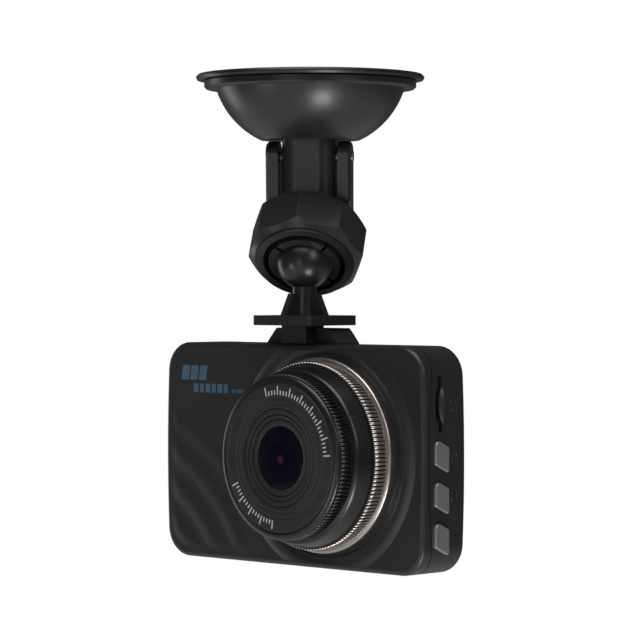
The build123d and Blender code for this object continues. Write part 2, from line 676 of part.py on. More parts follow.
for side, label in ((1, "right"), (-1, "left")):
    save(f"side_board_{label}", make_side_board(side))
    save(f"switches_{label}", make_switches(side))
save("case_screws", Compound(children=[make_screw(x, z) for x, z in screw_places()]))
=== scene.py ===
"""Looks of a windscreen camera: finishes, fine lens rings, rippled face, printed marks and studio."""
import logging
import math
from collections.abc import Iterable, Mapping, Sequence
from dataclasses import dataclass, field
from enum import Enum
from typing import Protocol, Union

import bmesh
import bpy
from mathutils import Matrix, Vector


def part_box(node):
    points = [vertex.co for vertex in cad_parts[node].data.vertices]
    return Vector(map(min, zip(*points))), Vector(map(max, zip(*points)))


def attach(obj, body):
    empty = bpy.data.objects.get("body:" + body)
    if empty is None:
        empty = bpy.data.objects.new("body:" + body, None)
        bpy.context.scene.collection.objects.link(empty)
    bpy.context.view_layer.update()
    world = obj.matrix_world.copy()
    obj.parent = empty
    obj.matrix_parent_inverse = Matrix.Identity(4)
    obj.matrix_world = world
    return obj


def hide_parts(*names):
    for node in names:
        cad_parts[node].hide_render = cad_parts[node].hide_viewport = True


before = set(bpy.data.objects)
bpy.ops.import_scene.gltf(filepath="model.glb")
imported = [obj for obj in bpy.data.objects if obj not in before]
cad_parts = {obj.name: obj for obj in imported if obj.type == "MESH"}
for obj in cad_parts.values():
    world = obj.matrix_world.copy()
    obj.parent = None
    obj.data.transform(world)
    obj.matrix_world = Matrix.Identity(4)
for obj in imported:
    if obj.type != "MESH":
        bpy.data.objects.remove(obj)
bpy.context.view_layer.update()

MM = 0.001
Colour = tuple[float, float, float]
Point2 = tuple[float, float]
Point3 = tuple[float, float, float]
log = logging.getLogger("windscreen_camera")


# ---------------------------------------------------------------- node graphs
class Value:
    """A node's output socket that takes part in arithmetic by adding Math nodes."""

    def __init__(self, graph: "Graph", socket: bpy.types.NodeSocket) -> None:
        """Keep the graph and the socket."""
        self.graph = graph
        self.socket = socket

    def _math(self, operation: str, *operands: "Operand") -> "Value":
        """One Math node of the given operation on the operands."""
        return self.graph.add("ShaderNodeMath", {"operation": operation}, dict(enumerate(operands)))[0]

    def __add__(self, other: "Operand") -> "Value":
        """self + other."""
        return self._math("ADD", self, other)

    __radd__ = __add__

    def __sub__(self, other: "Operand") -> "Value":
        """self - other."""
        return self._math("SUBTRACT", self, other)

    def __rsub__(self, other: "Operand") -> "Value":
        """other - self."""
        return self._math("SUBTRACT", other, self)

    def __mul__(self, other: "Operand") -> "Value":
        """self * other."""
        return self._math("MULTIPLY", self, other)

    __rmul__ = __mul__

    def __truediv__(self, other: "Operand") -> "Value":
        """self / other."""
        return self._math("DIVIDE", self, other)

    def __rtruediv__(self, other: "Operand") -> "Value":
        """other / self."""
        return self._math("DIVIDE", other, self)

    def __mod__(self, other: "Operand") -> "Value":
        """Remainder that is never negative."""
        return self._math("FLOORED_MODULO", self, other)

    def __neg__(self) -> "Value":
        """Minus self."""
        return self * -1.0

    def __abs__(self) -> "Value":
        """Size without sign."""
        return self._math("ABSOLUTE", self)

    def sin(self) -> "Value":
        """Sine of an angle in radians."""
        return self._math("SINE", self)

    def cos(self) -> "Value":
        """Cosine of an angle in radians."""
        return self._math("COSINE", self)

    def root(self) -> "Value":
        """Square root."""
        return self._math("SQRT", self)

    def least(self, other: "Operand") -> "Value":
        """The smaller of the two."""
        return self._math("MINIMUM", self, other)

    def most(self, other: "Operand") -> "Value":
        """The larger of the two."""
        return self._math("MAXIMUM", self, other)

    def ramp(self, low: float, high: float) -> "Value":
        """Smooth step from 0 at low to 1 at high; low may be the larger."""
        settings = {"interpolation_type": "SMOOTHSTEP"}
        if low > high:
            return 1 - self.ramp(high, low)
        return self.graph.add("ShaderNodeMapRange", settings,
                              {"Value": self, "From Min": low, "From Max": high})["Result"]


Operand = Union[Value, float, int]
Given = Union[Value, float, int, bool, Sequence[float], bpy.types.ID, Sequence[Value]]


class Made:
    """A node that has been added, read by its outputs."""

    def __init__(self, graph: "Graph", node: bpy.types.Node) -> None:
        """Keep the graph and the node."""
        self.graph = graph
        self.node = node

    def __getitem__(self, key: Union[str, int]) -> Value:
        """The output of that name or number."""
        if isinstance(key, int):
            return Value(self.graph, self.node.outputs[key])
        found = next(s for s in self.node.outputs if s.name == key and s.enabled)
        return Value(self.graph, found)


class Graph:
    """A node tree under construction."""

    def __init__(self, tree: bpy.types.NodeTree) -> None:
        """Start on an empty tree."""
        self.tree = tree
        self.tree.nodes.clear()

    def add(self, kind: str, settings: Mapping[str, object] | None = None,
            inputs: Mapping[Union[str, int], Given] | None = None) -> Made:
        """Add one node.

        Args:
            kind: the node's type.
            settings: its properties, set before its sockets; "stops" fills a colour ramp.
            inputs: values or links for its input sockets, by name or number.

        Returns:
            The node, read by its outputs.
        """
        node = self.tree.nodes.new(kind)
        for key, setting in (settings or {}).items():
            if key == "stops":
                self._fill_ramp(node, setting)
            else:
                setattr(node, key, setting)
        for key, given in (inputs or {}).items():
            self._feed(self._input(node, key), given)
        return Made(self, node)

    @staticmethod
    def _fill_ramp(node: bpy.types.Node, stops: Iterable[tuple[float, Colour]]) -> None:
        """Give a colour ramp its stops."""
        elements = node.color_ramp.elements
        for number, (place, colour) in enumerate(stops):
            element = elements[number] if number < len(elements) else elements.new(place)
            element.position = place
            element.color = (*colour, 1.0)

    @staticmethod
    def _input(node: bpy.types.Node, key: Union[str, int]) -> bpy.types.NodeSocket:
        """The input socket of that name or number."""
        if isinstance(key, int):
            return node.inputs[key]
        return next(s for s in node.inputs if s.name == key and s.enabled)

    def _feed(self, socket: bpy.types.NodeSocket, given: Given) -> None:
        """Link a socket, or several links into it, or set its value."""
        if isinstance(given, Value):
            self.tree.links.new(given.socket, socket)
        elif isinstance(given, (list, tuple)) and given and isinstance(given[0], Value):
            for value in given:
                self.tree.links.new(value.socket, socket)
        elif socket.type == "RGBA" and len(given) == 3:
            socket.default_value = (*given, 1.0)
        else:
            socket.default_value = given

    def vector(self, x: Operand = 0.0, y: Operand = 0.0, z: Operand = 0.0) -> Value:
        """A vector from three parts."""
        return self.add("ShaderNodeCombineXYZ", {}, {"X": x, "Y": y, "Z": z})["Vector"]

    def parts(self, vector: Value) -> tuple[Value, Value, Value]:
        """The three parts of a vector."""
        split = self.add("ShaderNodeSeparateXYZ", {}, {"Vector": vector})
        return split["X"], split["Y"], split["Z"]

    def distance(self, a: Operand, b: Operand) -> Value:
        """Length of the diagonal of a and b."""
        return (a * a + b * b).root()


class ShaderGraph(Graph):
    """The nodes of one material, on Object coordinates in metres."""

    def __init__(self, name: str) -> None:
        """Start a new material of that name."""
        self.material = bpy.data.materials.new(name)
        self.material.use_nodes = True
        super().__init__(self.material.node_tree)
        self.place = self.add("ShaderNodeTexCoord")["Object"]

    def noise(self, size: float, detail: float = 2.0, stretch: Point3 | None = None) -> Value:
        """Noise from 0 to 1.

        Args:
            size: width of its largest lumps, in mm.
            detail: how many finer layers it has.
            stretch: how many times longer its lumps are along each axis.

        Returns:
            The noise.
        """
        place = self.place
        if stretch:
            place = self.add("ShaderNodeMapping", {"vector_type": "TEXTURE"},
                             {"Vector": place, "Scale": stretch})["Vector"]
        return self.add("ShaderNodeTexNoise", {},
                        {"Vector": place, "Scale": 1 / (size * MM), "Detail": detail})[0]

    def cells(self, size: float) -> Value:
        """Distance to the nearest of scattered cell centres, cells size mm wide."""
        return self.add("ShaderNodeTexVoronoi", {},
                        {"Vector": self.place, "Scale": 1 / (size * MM)})["Distance"]

    def blend(self, factor: Operand, a: Union[Colour, Value], b: Union[Colour, Value]) -> Value:
        """Colour a where factor is 0 and b where it is 1."""
        return self.add("ShaderNodeMix", {"data_type": "RGBA"},
                        {"Factor": factor, "A": a, "B": b})["Result"]

    def bump(self, height: Value, depth: float) -> Value:
        """Normal of a relief that is depth mm deep where height goes from 0 to 1."""
        return self.add("ShaderNodeBump", {}, {"Height": height, "Distance": depth * MM})["Normal"]

    def radius(self, centre: Point2) -> Value:
        """Distance in mm from an axis along Y through a centre (x, z) in mm."""
        x, _, z = self.parts(self.place)
        return self.distance(x / MM - centre[0], z / MM - centre[1])

    def surface(self, **sockets: Given) -> bpy.types.Material:
        """End the material in one Principled shader; underscores stand for spaces."""
        inputs = {key.replace("_", " "): given for key, given in sockets.items()}
        shader = self.add("ShaderNodeBsdfPrincipled", {}, inputs)
        self.add("ShaderNodeOutputMaterial", {}, {"Surface": shader[0]})
        return self.material


class GeometryGraph(Graph):
    """A Geometry Nodes tree with named inputs that is stamped out as plain meshes."""

    KINDS = {int: "NodeSocketInt", float: "NodeSocketFloat", tuple: "NodeSocketVector"}

    def __init__(self, name: str, **inputs: Union[int, float, Point3]) -> None:
        """Start a tree.

        Args:
            name: the tree's name.
            inputs: the default of each named input.
        """
        super().__init__(bpy.data.node_groups.new(name, "GeometryNodeTree"))
        self.tree.interface.new_socket("Geometry", in_out="OUTPUT", socket_type="NodeSocketGeometry")
        for key, default in inputs.items():
            kind = self.KINDS[type(default)]
            socket = self.tree.interface.new_socket(key, in_out="INPUT", socket_type=kind)
            socket.default_value = default
        self.tree.interface.new_socket("finish", in_out="INPUT", socket_type="NodeSocketMaterial")
        self.given = self.add("NodeGroupInput")

    def __getitem__(self, key: str) -> Value:
        """The tree's input of that name."""
        return self.given[key]

    def transform(self, geometry: Value, **parts: Given) -> Value:
        """Scale, turn and shift a geometry."""
        inputs = {key.capitalize(): part for key, part in parts.items()}
        return self.add("GeometryNodeTransform", {}, {"Geometry": geometry, **inputs})["Geometry"]

    def index(self) -> Value:
        """Number of the point at hand."""
        return self.add("GeometryNodeInputIndex")["Index"]

    def turn_about_y(self, angle: Operand) -> Value:
        """Rotation about the Y axis."""
        return self.add("FunctionNodeAxisAngleToRotation", {},
                        {"Axis": (0.0, 1.0, 0.0), "Angle": angle})["Rotation"]

    def copies(self, piece: Value, count: Value, position: Value, rotation: Given, scale: Given) -> Value:
        """Instances of a piece on a row of points."""
        points = self.add("GeometryNodePoints", {}, {"Count": count})[0]
        placed = self.add("GeometryNodeSetPosition", {}, {"Geometry": points, "Position": position})[0]
        return self.add("GeometryNodeInstanceOnPoints", {},
                        {"Points": placed, "Instance": piece, "Rotation": rotation, "Scale": scale})[0]

    def end(self, geometry: Value) -> "GeometryGraph":
        """Close the tree with Realize Instances and Set Material."""
        real = self.add("GeometryNodeRealizeInstances", {}, {"Geometry": geometry})[0]
        dressed = self.add("GeometryNodeSetMaterial", {}, {"Geometry": real, "Material": self["finish"]})[0]
        self.add("NodeGroupOutput", {}, {"Geometry": dressed})
        return self

    def stamp(self, name: str, finish: bpy.types.Material,
              **values: Union[int, float, Point3]) -> bpy.types.Object:
        """Run the tree once and keep its result as a plain mesh.

        Args:
            name: name of the new piece.
            finish: its material.
            values: the tree's inputs.

        Returns:
            The new piece, with no modifier.
        """
        blank = bpy.data.meshes.new(name + "_blank")
        piece = add_piece(name, blank)
        modifier = piece.modifiers.new("pattern", "NODES")
        modifier.node_group = self.tree
        values["finish"] = finish
        for item in self.tree.interface.items_tree:
            if item.in_out == "INPUT" and item.name in values:
                modifier[item.identifier] = values[item.name]
        depsgraph = bpy.context.evaluated_depsgraph_get()
        result = bpy.data.meshes.new_from_object(piece.evaluated_get(depsgraph), depsgraph=depsgraph)
        piece.modifiers.clear()
        piece.data = result
        bpy.data.meshes.remove(blank)
        return piece


def ridge_ring() -> GeometryGraph:
    """Tree of rounded ridges along Y, set round an axis like the teeth of a knurled ring."""
    graph = GeometryGraph("ridge_ring", count=132, radius=0.02, width=0.0005, height=0.0003,
                          front=-0.02, back=-0.01, centre=(0.0, 0.0, 0.0))
    rod = graph.add("GeometryNodeMeshCylinder", {"fill_type": "NGON"},
                    {"Vertices": 10, "Radius": 1.0, "Depth": 1.0})
    smooth = graph.add("GeometryNodeSetShadeSmooth", {},
                       {0: rod["Mesh"], "Selection": rod["Side"], "Shade Smooth": True})[0]
    length = graph["back"] - graph["front"]
    middle = (graph["back"] + graph["front"]) / 2
    ridge = graph.transform(smooth, rotation=(math.pi / 2, 0.0, 0.0),
                            scale=graph.vector(graph["width"] / 2, graph["height"], length),
                            translation=graph.vector(0.0, middle, graph["radius"]))
    angle = graph.index() * math.tau / graph["count"]
    ring = graph.copies(ridge, graph["count"], graph.vector(), graph.turn_about_y(angle), (1.0, 1.0, 1.0))
    return graph.end(graph.transform(ring, translation=graph["centre"]))


def tick_arc() -> GeometryGraph:
    """Tree of printed ticks along an arc, every few of them long."""
    graph = GeometryGraph("tick_arc", count=20, radius=0.014, first=0.0, step=0.07, length=0.002,
                          width=0.0003, relief=0.0001, long_every=4, centre=(0.0, 0.0, 0.0))
    cube = graph.add("GeometryNodeMeshCube", {}, {"Size": (1.0, 1.0, 1.0)})["Mesh"]
    tick = graph.transform(cube, translation=(0.0, 0.0, 0.5))
    angle = graph["first"] + graph.index() * graph["step"]
    position = graph.vector(angle.sin() * graph["radius"], 0.0, angle.cos() * graph["radius"])
    is_long = 1 - (graph.index() % graph["long_every"]).least(1)
    length = graph["length"] * (0.5 + 0.5 * is_long)
    ticks = graph.copies(tick, graph["count"], position, graph.turn_about_y(angle),
                         graph.vector(graph["width"], graph["relief"], length))
    return graph.end(graph.transform(ticks, translation=graph["centre"]))


def dash_row() -> GeometryGraph:
    """Tree of printed dashes of uneven width along X."""
    graph = GeometryGraph("dash_row", count=6, pitch=0.002, height=0.001, relief=0.0001,
                          least=0.5, most=0.85, seed=3, start=(0.0, 0.0, 0.0))
    cube = graph.add("GeometryNodeMeshCube", {}, {"Size": (1.0, 1.0, 1.0)})["Mesh"]
    width = graph.add("FunctionNodeRandomValue", {"data_type": "FLOAT"},
                      {"Min": graph["least"], "Max": graph["most"], "Seed": graph["seed"]})["Value"]
    place = graph.vector((graph.index() + 0.5) * graph["pitch"])
    dashes = graph.copies(cube, graph["count"], place, (0.0, 0.0, 0.0),
                          graph.vector(width * graph["pitch"], graph["relief"], graph["height"]))
    return graph.end(graph.transform(dashes, translation=graph["start"]))


def bar_row() -> GeometryGraph:
    """Tree of round grip bars, side by side along Z, turned about Z and put in place."""
    graph = GeometryGraph("bar_row", count=5, step=0.0015, radius=0.0005, length=0.01,
                          yaw=0.0, start=(0.0, 0.0, 0.0))
    rod = graph.add("GeometryNodeMeshCylinder", {"fill_type": "TRIANGLE_FAN"},
                    {"Vertices": 12, "Radius": graph["radius"], "Depth": graph["length"]})
    smooth = graph.add("GeometryNodeSetShadeSmooth", {},
                       {0: rod["Mesh"], "Selection": rod["Side"], "Shade Smooth": True})[0]
    bar = graph.transform(smooth, rotation=(0.0, math.pi / 2, 0.0))
    place = graph.vector(0.0, 0.0, -(graph.index() * graph["step"]))
    bars = graph.copies(bar, graph["count"], place, (0.0, 0.0, 0.0), (1.0, 1.0, 1.0))
    turned = graph.transform(bars, rotation=graph.vector(0.0, 0.0, graph["yaw"]))
    return graph.end(graph.transform(turned, translation=graph["start"]))


def ripple_panel() -> GeometryGraph:
    """Tree of a thin closed panel whose front swells in rings about a far corner."""
    graph = GeometryGraph("ripple_panel", width=0.05, height=0.04, columns=150, rows=120,
                          middle=(0.0, 0.0, 0.0), corner=(0.0, 0.0, 0.0), rings=(0.0, 0.0, 0.0),
                          lens=(0.0, 0.0, 0.0), lens_clear=0.0255, case_corner=0.007,
                          spacing=0.0075, first=0.0294, swell=0.0002, thickness=0.001)
    edge_margin, edge_fade = 0.0013, 0.005
    lens_overlap, lens_start, lens_fade, lens_sink = 0.003, 0.0006, 0.007, 0.0009
    far_start, far_end = 0.040, 0.062
    flat = graph.add("GeometryNodeMeshGrid", {},
                     {"Size X": graph["width"], "Size Y": graph["height"],
                      "Vertices X": graph["columns"], "Vertices Y": graph["rows"]})["Mesh"]
    upright = graph.transform(flat, rotation=(math.pi / 2, 0.0, 0.0), translation=graph["middle"])

    def away_from(point: str) -> tuple[Value, Value]:
        """How far the vertex at hand is from a named point, along X and Z."""
        x, _, z = graph.parts(graph.add("GeometryNodeInputPosition")["Position"])
        point_x, _, point_z = graph.parts(graph[point])
        return x - point_x, z - point_z

    from_x, from_z = away_from("corner")
    radius = graph["case_corner"]
    edge = radius - graph.distance((radius - from_x).most(0), (radius - from_z).most(0))
    from_edge = edge.least(from_x.least(from_z).most(edge))
    lens_x, lens_z = away_from("lens")
    from_lens = graph.distance(lens_x, lens_z) - graph["lens_clear"]
    ring_x, ring_z = away_from("rings")
    ring = graph.distance(ring_x, ring_z)
    kept = graph.add("GeometryNodeDeleteGeometry", {"domain": "FACE"},
                     {"Geometry": upright,
                      "Selection": (edge_margin - from_edge).most(0 - from_lens - lens_overlap)})[0]
    slab = graph.add("GeometryNodeExtrudeMesh", {"mode": "FACES"},
                     {"Mesh": kept, "Offset": (0.0, -1.0, 0.0), "Offset Scale": graph["thickness"],
                      "Individual": False})
    wave = 1 + ((ring - graph["first"]) * math.tau / graph["spacing"]).cos()
    near_fade = from_edge.ramp(edge_margin, edge_fade) * from_lens.ramp(lens_start, lens_fade)
    fade = near_fade * ring.ramp(far_end, far_start)
    sink = from_lens.ramp(lens_start, 0.0) * lens_sink
    rise = graph.vector(0.0, sink - wave * fade * graph["swell"], 0.0)
    shaped = graph.add("GeometryNodeSetPosition", {},
                       {"Geometry": slab["Mesh"], "Selection": slab["Top"], "Offset": rise})[0]
    back = graph.add("GeometryNodeFlipFaces", {}, {"Mesh": kept})[0]
    both = graph.add("GeometryNodeJoinGeometry", {}, {"Geometry": [shaped, back]})[0]
    closed = graph.add("GeometryNodeMergeByDistance", {}, {"Geometry": both, "Distance": 1e-6})[0]
    smooth = graph.add("GeometryNodeSetShadeSmooth", {}, {0: closed, "Shade Smooth": True})[0]
    return graph.end(smooth)


# ---------------------------------------------------------------- finishes
class FinishRecipe(Protocol):
    """Anything that can make its own material."""

    def build(self, name: str) -> bpy.types.Material:
        """Make the material under that name."""


@dataclass(frozen=True)
class MouldedPlastic:
    """Opaque moulded plastic: fine spark-eroded grain and a faintly uneven gloss."""

    colour: Colour
    roughness: float = 0.4
    grain: float = 0.35
    depth: float = 0.012
    cloud: float = 0.7

    def build(self, name: str) -> bpy.types.Material:
        """Make the material under that name."""
        graph = ShaderGraph(name)
        cloud = graph.noise(14.0, 4.0)
        grain = graph.noise(self.grain, 3.0)
        pale = tuple(min(1.0, part * 1.5 + 0.002) for part in self.colour)
        colour = graph.blend(cloud * self.cloud + grain * 0.3, self.colour, pale)
        roughness = self.roughness + (cloud - 0.5) * 0.14 * self.cloud + (grain - 0.5) * 0.08
        return graph.surface(Base_Color=colour, Roughness=roughness, Normal=graph.bump(grain, self.depth))


@dataclass(frozen=True)
class PadRubber:
    """Soft black rubber with a faint bloom."""

    colour: Colour
    bloom: Colour

    def build(self, name: str) -> bpy.types.Material:
        """Make the material under that name."""
        graph = ShaderGraph(name)
        bloom = graph.noise(11.0, 5.0).ramp(0.42, 0.78)
        fine = graph.noise(0.5, 3.0)
        return graph.surface(Base_Color=graph.blend(bloom * 0.5, self.colour, self.bloom),
                             Roughness=0.34 + bloom * 0.16, Normal=graph.bump(fine, 0.01))


@dataclass(frozen=True)
class LatheTurned:
    """Matt black ring with fine turning marks round the lens axis."""

    colour: Colour
    centre: Point2
    pitch: float = 0.22
    roughness: float = 0.46

    def build(self, name: str) -> bpy.types.Material:
        """Make the material under that name."""
        graph = ShaderGraph(name)
        radius = graph.radius(self.centre)
        marks = 0.5 + 0.5 * (radius * (math.tau / self.pitch)).sin()
        cloud = graph.noise(6.0, 4.0)
        pale = tuple(part * 1.8 for part in self.colour)
        colour = graph.blend(marks * 0.3 + cloud * 0.5, self.colour, pale)
        height = marks * 0.6 + graph.noise(0.3, 2.0) * 0.4
        return graph.surface(Base_Color=colour, Roughness=self.roughness + (cloud - 0.5) * 0.1,
                             Normal=graph.bump(height, 0.006))


@dataclass(frozen=True)
class BrightMetal:
    """Plated trim with painted shade: its colour is painted dark in the grooves between the teeth and bright
    on their crests.
    """

    colour: Colour
    # painted shade colour for the grooves between the teeth
    groove_shade: Colour
    centre: Point2
    groove_radius: float
    crest_radius: float
    roughness: float = 0.24

    def build(self, name: str) -> bpy.types.Material:
        """Make the material under that name."""
        graph = ShaderGraph(name)
        crest = graph.radius(self.centre).ramp(self.groove_radius, self.crest_radius)
        cloud = graph.noise(2.5, 4.0)
        grain = graph.noise(0.25, 2.0)
        # painted shade: the colour darkens from the crests down into the grooves
        colour = graph.blend(crest * (0.75 + 0.25 * cloud), self.groove_shade, self.colour)
        roughness = self.roughness + (cloud - 0.5) * 0.14 + (1 - crest) * 0.15
        return graph.surface(Base_Color=colour, Metallic=1.0, Roughness=roughness,
                             Normal=graph.bump(grain, 0.012))


@dataclass(frozen=True)
class BrushedSilver:
    """Silver-painted plastic with faint strokes along Z."""

    colour: Colour

    def build(self, name: str) -> bpy.types.Material:
        """Make the material under that name."""
        graph = ShaderGraph(name)
        strokes = graph.noise(0.35, 3.0, (1.0, 1.0, 14.0))
        cloud = graph.noise(3.0, 3.0)
        dark = tuple(part * 0.72 for part in self.colour)
        colour = graph.blend(strokes * 0.6 + cloud * 0.4, dark, self.colour)
        return graph.surface(Base_Color=colour, Metallic=0.75, Roughness=0.34 + strokes * 0.12,
                             Normal=graph.bump(strokes, 0.010))


@dataclass(frozen=True)
class CoatedLens:
    """Dark front element with a coloured coating and a small painted glint, a painted reflection of the
    elements behind.
    """

    centre: Point2
    glass_radius: float
    rim: Colour = (0.004, 0.004, 0.006)
    body: Colour = (0.0045, 0.003, 0.011)
    heart: Colour = (0.003, 0.002, 0.005)
    # painted reflection: colour of the small glint
    painted_glint: Colour = (0.045, 0.018, 0.035)

    def build(self, name: str) -> bpy.types.Material:
        """Make the material under that name."""
        graph = ShaderGraph(name)
        radius = graph.radius(self.centre)
        painted_glint_radius = graph.radius((self.centre[0] + 0.7, self.centre[1] - 0.3))
        share = radius / self.glass_radius
        tint = graph.add("ShaderNodeValToRGB", {"stops": [
            (0.0, self.heart), (0.16, self.heart), (0.30, self.body), (0.34, self.heart),
            (0.55, self.body), (0.86, self.rim), (1.0, self.rim)]}, {"Fac": share})["Color"]
        # painted reflection: a small magenta glint painted into the colour just off the centre
        colour = graph.blend(painted_glint_radius.ramp(1.3, 0.35) * 0.85, tint, self.painted_glint)
        dust = graph.noise(0.8, 4.0).ramp(0.62, 0.8)
        return graph.surface(Base_Color=colour, Roughness=0.12 + dust * 0.06, IOR=1.45,
                             Specular_IOR_Level=0.14, Specular_Tint=(0.62, 0.55, 1.0, 1.0))


@dataclass(frozen=True)
class DisplayGlass:
    """Black window with a slightly bluer display area behind it."""

    centre: Point2
    half: Point2
    border: Colour = (0.003, 0.003, 0.004)
    display: Colour = (0.010, 0.012, 0.018)

    def build(self, name: str) -> bpy.types.Material:
        """Make the material under that name."""
        graph = ShaderGraph(name)
        x, _, z = graph.parts(graph.place)
        outside = (abs(x / MM - self.centre[0]) - self.half[0]).most(
            abs(z / MM - self.centre[1]) - self.half[1])
        smear = graph.noise(16.0, 4.0)
        colour = graph.blend(outside.ramp(0.15, -0.15), self.border, self.display)
        return graph.surface(Base_Color=colour, Roughness=0.06 + smear.ramp(0.45, 0.8) * 0.09,
                             Coat_Weight=1.0, Coat_Roughness=0.04)


@dataclass(frozen=True)
class PrintInk:
    """Screen-printed ink with a thin, slightly uneven body."""

    colour: Colour

    def build(self, name: str) -> bpy.types.Material:
        """Make the material under that name."""
        graph = ShaderGraph(name)
        thin = graph.noise(0.4, 3.0)
        faded = tuple(part * 0.78 for part in self.colour)
        return graph.surface(Base_Color=graph.blend(thin, faded, self.colour),
                             Roughness=0.5 + thin * 0.1)


@dataclass(frozen=True)
class PlainMetal:
    """Turned or pressed steel with fine random scratches."""

    colour: Colour
    roughness: float = 0.3

    def build(self, name: str) -> bpy.types.Material:
        """Make the material under that name."""
        graph = ShaderGraph(name)
        scratch = graph.noise(0.6, 5.0, (1.0, 6.0, 1.0))
        dark = tuple(part * 0.7 for part in self.colour)
        return graph.surface(Base_Color=graph.blend(scratch, dark, self.colour), Metallic=1.0,
                             Roughness=self.roughness + scratch * 0.15, Normal=graph.bump(scratch, 0.004))


@dataclass(frozen=True)
class CircuitBoard:
    """Solder mask over copper tracks that run both ways."""

    mask: Colour = (0.008, 0.045, 0.020)
    track: Colour = (0.020, 0.110, 0.045)

    def build(self, name: str) -> bpy.types.Material:
        """Make the material under that name."""
        graph = ShaderGraph(name)
        x, _, z = graph.parts(graph.place)
        wander = graph.noise(9.0, 1.0) * 6
        lines = ((x / MM + wander) % 1.2).ramp(0.75, 0.85).most(((z / MM + wander) % 1.6).ramp(1.1, 1.2))
        return graph.surface(Base_Color=graph.blend(lines, self.mask, self.track),
                             Roughness=0.35 + lines * 0.08, Normal=graph.bump(lines, 0.02))


@dataclass(frozen=True)
class OpenFoam:
    """Grey foam with open cells, painted darker in the cell hollows as shade."""

    colour: Colour

    def build(self, name: str) -> bpy.types.Material:
        """Make the material under that name."""
        graph = ShaderGraph(name)
        cells = graph.cells(0.7)
        dark = tuple(part * 0.45 for part in self.colour)
        # painted shade: the colour is darker in the middle of each cell, where the hollow is
        return graph.surface(Base_Color=graph.blend(cells, dark, self.colour), Roughness=0.95,
                             Normal=graph.bump(cells, 0.15))


@dataclass(frozen=True)
class StudioCard:
    """Pale card for the floor."""

    colour: Colour

    def build(self, name: str) -> bpy.types.Material:
        """Make the material under that name."""
        graph = ShaderGraph(name)
        fibre = graph.noise(3.0, 4.0)
        pale = tuple(part * 0.985 for part in self.colour)
        return graph.surface(Base_Color=graph.blend(fibre, pale, self.colour), Roughness=0.9)


def centre_of(node: str) -> Point2:
    """Middle of a CAD node in its front view, as (x, z) in mm."""
    low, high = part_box(node)
    return (low.x + high.x) / 2 / MM, (low.z + high.z) / 2 / MM


LENS_CENTRE = centre_of("front_glass")


class Finish(Enum):
    """Every finish on the camera and in its studio."""

    PAD = PadRubber((0.006, 0.006, 0.007), (0.016, 0.016, 0.018))
    MOUNT = MouldedPlastic((0.0125, 0.0122, 0.0130), 0.33, 0.5, 0.010)
    CASE = MouldedPlastic((0.0095, 0.0095, 0.0105), 0.40, 0.30, 0.010)
    BARREL = MouldedPlastic((0.0055, 0.0055, 0.006), 0.30, 0.25, 0.002, 0.2)
    LENS_FACE = LatheTurned((0.0075, 0.0075, 0.0082), LENS_CENTRE)
    BALL = MouldedPlastic((0.008, 0.008, 0.0095), 0.30, 0.6, 0.006)
    # the second colour is the painted shade in the grooves of the trim
    TRIM = BrightMetal((0.47, 0.445, 0.42), (0.05, 0.046, 0.042), LENS_CENTRE, 21.12, 21.42, 0.34)
    SILVER = BrushedSilver((0.36, 0.355, 0.35))
    GLASS = CoatedLens(LENS_CENTRE, 7.15)
    DISPLAY = DisplayGlass(centre_of("lcd_window"), (33.0, 17.6))
    WHITE_INK = PrintInk((0.50, 0.50, 0.51))
    BLUE_INK = PrintInk((0.045, 0.105, 0.165))
    STEEL = PlainMetal((0.52, 0.52, 0.54))
    BOARD = CircuitBoard()
    CHIP = MouldedPlastic((0.014, 0.014, 0.015), 0.5, 0.2, 0.01)
    FOIL = PlainMetal((0.45, 0.46, 0.48), 0.42)
    WHITE_PLASTIC = MouldedPlastic((0.62, 0.62, 0.58), 0.45, 0.5, 0.01)
    FOAM = OpenFoam((0.09, 0.09, 0.10))
    CARD = StudioCard((0.92, 0.92, 0.92))

    @property
    def material(self) -> bpy.types.Material:
        """The finish's material, made on first use."""
        name = "finish_" + self.name.lower()
        recipe: FinishRecipe = self.value
        return bpy.data.materials.get(name) or recipe.build(name)


# ---------------------------------------------------------------- making pieces
def add_piece(name: str, mesh: bpy.types.Mesh) -> bpy.types.Object:
    """A new object for a mesh, in the scene."""
    piece = bpy.data.objects.new(name, mesh)
    bpy.context.scene.collection.objects.link(piece)
    return piece


def paint(piece: bpy.types.Object, finish: Finish) -> None:
    """Give a piece one finish all over."""
    if not piece.data.materials:
        piece.data.materials.append(finish.material)
    for slot in piece.material_slots:
        slot.material = finish.material


def settle(piece: bpy.types.Object, body: str, slot: str, finish: Finish, *replaced: str) -> bpy.types.Object:
    """Paint a finished piece, hang it on its body and hide the CAD nodes it stands for.

    Args:
        piece: the piece, in place.
        body: the CAD body that it moves with.
        slot: the record's material slot; not used.
        finish: its finish.
        replaced: CAD nodes that it stands for.

    Returns:
        The same piece.
    """
    paint(piece, finish)
    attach(piece, body)
    if replaced:
        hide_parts(*replaced)
    log.info("%s on %s: %d faces", piece.name, body, len(piece.data.polygons))
    return piece


def dress(finish: Finish, *nodes: str) -> None:
    """Give CAD nodes a finish."""
    for node in nodes:
        paint(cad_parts[node], finish)
        log.info("%s dressed in %s", node, finish.name)


def eased(outline: Sequence[Point2], reach: float, steps: int = 4) -> list[Point2]:
    """Replace each corner of a closed outline by a short curve.

    Args:
        outline: the corners.
        reach: how far from the corner the curve starts, at most.
        steps: number of spans in the curve.

    Returns:
        The new outline.
    """
    result = []
    for number, corner in enumerate(outline):
        here = Vector(corner)
        before = Vector(outline[number - 1]) - here
        after = Vector(outline[(number + 1) % len(outline)]) - here
        cut = min(reach, 0.4 * before.length, 0.4 * after.length)
        start, end = here + before.normalized() * cut, here + after.normalized() * cut
        for step in range(steps + 1):
            share = step / steps
            point = start * (1 - share) ** 2 + here * 2 * share * (1 - share) + end * share ** 2
            result.append((point.x, point.y))
    return result


